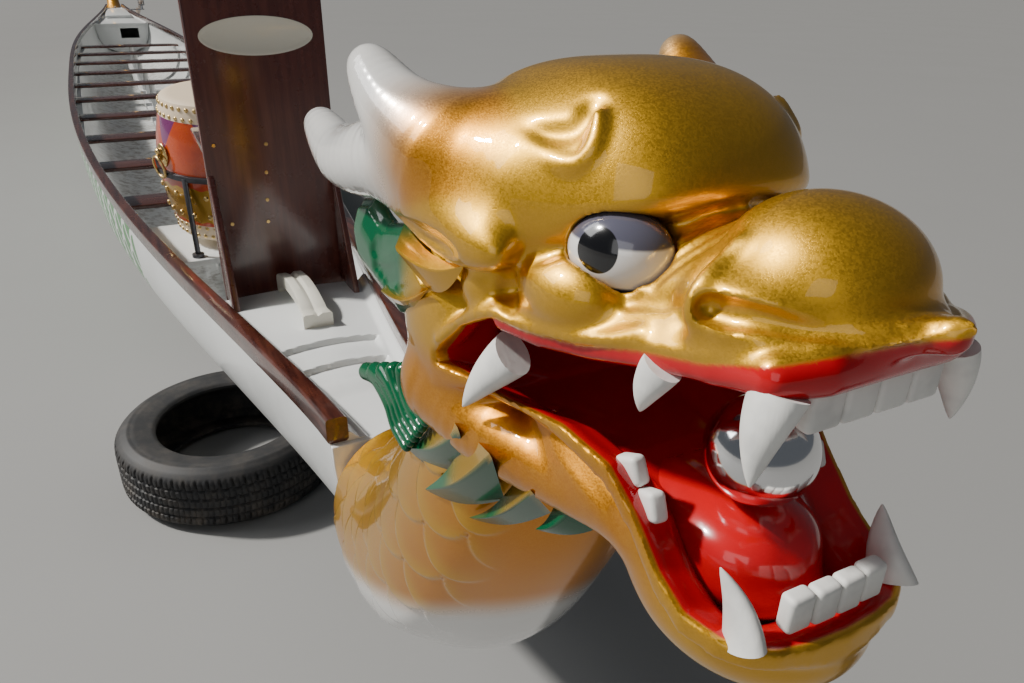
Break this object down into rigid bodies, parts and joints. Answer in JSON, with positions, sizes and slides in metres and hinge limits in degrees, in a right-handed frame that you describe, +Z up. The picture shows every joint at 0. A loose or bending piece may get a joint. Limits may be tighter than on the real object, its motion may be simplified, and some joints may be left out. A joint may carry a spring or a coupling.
{
  "type": "dragon boat",
  "caption": "Long open paddling boat with flat benches, a dragon's head and tail, a drummer's seat and drum, and a steering oar, beached with its bow on a tyre.",
  "frame": {"origin": "middle of the whole length, on the centreline, on the ground", "axes": "+X forward to the bow, +Y to port, +Z up"},
  "size_m": [14.67, 1.168, 1.3395],
  "materials": {
    "gelcoat": "white gelcoat, glossy",
    "mahogany": "dark varnished mahogany",
    "gold": "metallic gold paint under clear lacquer",
    "green": "glossy green paint",
    "red": "glossy red paint",
    "tooth": "white paint",
    "chrome": "polished chrome",
    "steel": "stainless steel",
    "drum_paint": "orange-red lacquer",
    "drum_hide": "natural hide",
    "tyre": "worn black rubber",
    "oar_wood": "varnished pale timber"
  },
  "bodies": {
    "boat": {"hull_shell": "gelcoat", "bow_end_board": "gelcoat", "stern_end_board": "gelcoat", "gunwale_cap_port": "mahogany", "gunwale_cap_starboard": "mahogany", "seat_ledger_port": "gelcoat", "seat_ledger_starboard": "gelcoat", "bench_01": "mahogany", "bench_02": "mahogany", "bench_03": "mahogany", "bench_04": "mahogany", "bench_05": "mahogany", "bench_06": "mahogany", "bench_07": "mahogany", "bench_08": "mahogany", "bench_09": "mahogany", "bench_10": "mahogany", "keelson": "gelcoat", "bow_bulkhead": "gelcoat", "stern_bulkhead": "gelcoat", "bow_deck": "gelcoat", "stern_deck": "gelcoat", "stern_platform": "gelcoat", "bow_handle": "gelcoat", "seat_board": "mahogany", "seat_plate": "mahogany", "seat_fin_port": "mahogany", "seat_bracket_port": "mahogany", "seat_fin_starboard": "mahogany", "seat_bracket_starboard": "mahogany", "seat_plaque": "tooth", "drum_barrel": "drum_paint", "drum_head_upper": "drum_hide", "drum_head_lower": "drum_hide", "drum_board": "gelcoat", "drum_stand": "steel", "neck": "gold", "head_upper": "gold", "jaw_lower": "gold", "tongue": "red", "mouth_ball": "chrome", "antler_port": "gold", "ear_port": "gold", "eye_port": "tooth", "antler_starboard": "gold", "ear_starboard": "gold", "eye_starboard": "tooth", "teeth_upper": "tooth", "teeth_lower": "tooth", "mane_port": "green", "mane_starboard": "green", "tail": "gold", "tyre": "tyre", "oar_bracket": "steel"},
    "oar": {"oar_lock": "steel", "steering_oar": "oar_wood"}
  },
  "joints": [
    {"name": "steering", "type": "hinge", "parent": "boat", "child": "oar", "pos_m": [-5.494, 0.33, 0.715], "axis": [0, 0, 1], "range_deg": [-30, 10]}
  ]
}
